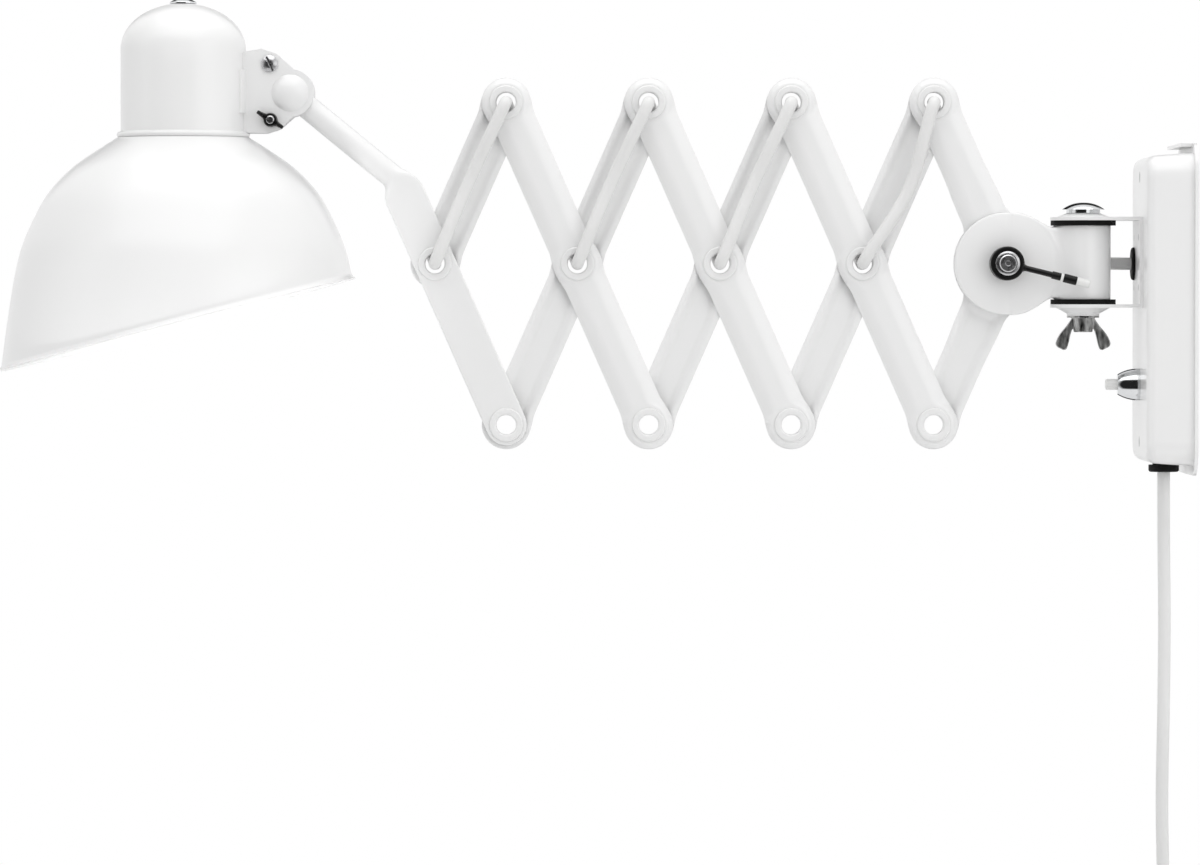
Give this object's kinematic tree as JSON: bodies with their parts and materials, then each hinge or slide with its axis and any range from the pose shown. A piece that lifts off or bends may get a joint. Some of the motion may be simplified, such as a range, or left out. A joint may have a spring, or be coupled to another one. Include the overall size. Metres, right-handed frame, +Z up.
{
  "type": "adjustable wall lamp",
  "caption": "Wall lamp with a scissor arm of pressed bars on hollow rivets, clamped swivel, and dome shade on a ball joint.",
  "frame": {"origin": "middle of the wall plate's back face, on the wall", "axes": "+Z up, +X into the wall, the arm reaches out along -X, -Y is the side with the clamp lever"},
  "size_m": [0.7034, 0.2197, 0.6759],
  "materials": {
    "enamel": "gloss white enamel",
    "rivet_steel": "white enamel",
    "bright_metal": "polished",
    "plain_steel": "zinc plated",
    "dark_steel": "black oxide",
    "pale_end": "satin white",
    "black_rubber": "matte black",
    "cable": "satin white sheath",
    "plug": "moulded white",
    "pin_metal": "nickel plated brass",
    "inner_plastic": "moulded",
    "bronze": "turned bronze",
    "lamp_glass": "opal glass"
  },
  "bodies": {
    "base": {"wall_plate": "enamel", "base_cover": "enamel", "base_screws": "plain_steel", "swivel_bracket": "enamel", "swivel_bolt": "bright_metal", "friction_washers": "black_rubber", "cup_washers": "rivet_steel", "switch_bushing": "bright_metal", "switch_body": "inner_plastic", "arm_cable_grommet": "black_rubber", "cord_gland": "black_rubber", "terminal_block": "inner_plastic", "mains_cord": "cable", "cord_coil": "cable", "coil_tie": "black_rubber", "plug_body": "plug", "plug_pins": "pin_metal"},
    "wing_nut_body": {"wing_nut": "plain_steel"},
    "button_body": {"switch_button": "pale_end"},
    "swivel": {"hub_casting": "enamel", "hub_bush": "bronze", "hub_bolt": "plain_steel", "hub_nut_washers": "bright_metal", "base_lead": "cable"},
    "lever": {"clamp_lever": "dark_steel", "lever_tip": "pale_end"},
    "front_link_1": {"front_bar_1": "enamel", "pivot_rivets_1": "rivet_steel", "arm_cable_rear_1": "cable"},
    "front_link_2": {"front_bar_2": "enamel", "pivot_rivets_2": "rivet_steel", "arm_cable_rear_2": "cable"},
    "front_link_3": {"front_bar_3": "enamel", "pivot_rivets_3": "rivet_steel", "arm_cable_rear_3": "cable"},
    "front_link_4": {"front_bar_4": "enamel", "pivot_rivets_4": "rivet_steel", "arm_cable_rear_4": "cable"},
    "rear_link_1": {"rear_bar_1": "enamel"},
    "rear_link_2": {"rear_bar_2": "enamel", "arm_cable_front_1": "cable"},
    "rear_link_3": {"rear_bar_3": "enamel", "arm_cable_front_2": "cable"},
    "rear_link_4": {"rear_bar_4": "enamel", "arm_cable_front_3": "cable"},
    "rear_link_5": {"rear_bar_5": "enamel", "arm_cable_front_4": "cable"},
    "head_link": {"head_arm": "enamel", "pivot_rivets_5": "rivet_steel", "head_lead": "cable"},
    "ball": {"head_ball": "enamel"},
    "head": {"ball_clamp_plates": "enamel", "clamp_screws": "bright_metal", "cap_housing": "enamel", "cap_button": "bright_metal", "shade": "enamel", "lamp_holder": "inner_plastic", "bulb": "lamp_glass", "holder_lead": "cable"},
    "clamp_nut_body": {"clamp_wing_nut": "dark_steel"}
  },
  "joints": [
    {"name": "base_swivel", "type": "hinge", "parent": "base", "child": "swivel", "pos_m": [-0.0628, 0, 0.0277], "axis": [0, 0, 1], "range_deg": [-75, 75], "deforming": ["base_lead"]},
    {"name": "arm_tilt", "type": "hinge", "parent": "swivel", "child": "front_link_1", "pos_m": [-0.109, 0, 0.027], "axis": [0, -1, 0], "range_deg": [-20, 31], "deforming": ["base_lead"]},
    {"name": "scissor_extend", "type": "hinge", "parent": "front_link_1", "child": "rear_link_2", "pos_m": [-0.15105, 0, 0.12212], "axis": [0, 1, 0], "range_deg": [-19.5, 62]},
    {"name": "rear_link_1_turn", "type": "hinge", "parent": "front_link_1", "child": "rear_link_1", "pos_m": [-0.109, 0, 0.027], "axis": [0, -1, 0], "range_deg": [-62.5, 20]},
    {"name": "front_link_2_turn", "type": "hinge", "parent": "rear_link_2", "child": "front_link_2", "pos_m": [-0.1931, 0, 0.027], "axis": [0, -1, 0], "range_deg": [-20, 62.5]},
    {"name": "front_link_3_turn", "type": "hinge", "parent": "rear_link_2", "child": "front_link_3", "pos_m": [-0.23516, 0, -0.06812], "axis": [0, -1, 0], "range_deg": [-20, 62.5]},
    {"name": "rear_link_3_turn", "type": "hinge", "parent": "front_link_3", "child": "rear_link_3", "pos_m": [-0.27721, 0, 0.027], "axis": [0, -1, 0], "range_deg": [-62.5, 20]},
    {"name": "rear_link_4_turn", "type": "hinge", "parent": "front_link_3", "child": "rear_link_4", "pos_m": [-0.31926, 0, 0.12212], "axis": [0, -1, 0], "range_deg": [-62.5, 20]},
    {"name": "front_link_4_turn", "type": "hinge", "parent": "rear_link_4", "child": "front_link_4", "pos_m": [-0.36131, 0, 0.027], "axis": [0, -1, 0], "range_deg": [-20, 62.5]},
    {"name": "head_link_turn", "type": "hinge", "parent": "rear_link_4", "child": "head_link", "pos_m": [-0.40336, 0, -0.06812], "axis": [0, -1, 0], "range_deg": [-20, 62.5]},
    {"name": "rear_link_5_turn", "type": "hinge", "parent": "head_link", "child": "rear_link_5", "pos_m": [-0.44541, 0, 0.027], "axis": [0, -1, 0], "range_deg": [-62.5, 20]},
    {"name": "head_swivel", "type": "hinge", "parent": "head_link", "child": "ball", "pos_m": [-0.53034, 0, 0.12738], "axis": [-0.7738, 0, 0.6334], "range_deg": [-75, 75], "deforming": ["holder_lead"]},
    {"name": "head_tilt", "type": "hinge", "parent": "ball", "child": "head", "pos_m": [-0.53034, 0, 0.12738], "axis": [0, 1, 0], "range_deg": [-12, 100], "deforming": ["holder_lead"]},
    {"name": "lever_turn", "type": "hinge", "parent": "swivel", "child": "lever", "pos_m": [-0.109, 0, 0.027], "axis": [0, -1, 0], "range_deg": [-60, 60]},
    {"name": "wing_nut_turn", "type": "hinge", "parent": "base", "child": "wing_nut_body", "pos_m": [-0.0628, 0, -0.01], "axis": [0, 0, 1], "range_deg": [-180, 180]},
    {"name": "clamp_wing_turn", "type": "hinge", "parent": "head", "child": "clamp_nut_body", "pos_m": [-0.54184, 0, 0.11148], "axis": [0, 1, 0], "range_deg": [-180, 180]},
    {"name": "switch_press", "type": "slide", "parent": "base", "child": "button_body", "axis": [1, 0, 0], "range_m": [0, 0.0025], "stiffness_N_per_m": 400}
  ],
  "couplings": [
    {"joint": "rear_link_1_turn", "follows": "scissor_extend", "ratio": -1},
    {"joint": "front_link_2_turn", "follows": "scissor_extend", "ratio": 1},
    {"joint": "front_link_3_turn", "follows": "scissor_extend", "ratio": 1},
    {"joint": "rear_link_3_turn", "follows": "scissor_extend", "ratio": -1},
    {"joint": "rear_link_4_turn", "follows": "scissor_extend", "ratio": -1},
    {"joint": "front_link_4_turn", "follows": "scissor_extend", "ratio": 1},
    {"joint": "head_link_turn", "follows": "scissor_extend", "ratio": 1},
    {"joint": "rear_link_5_turn", "follows": "scissor_extend", "ratio": -1}
  ]
}
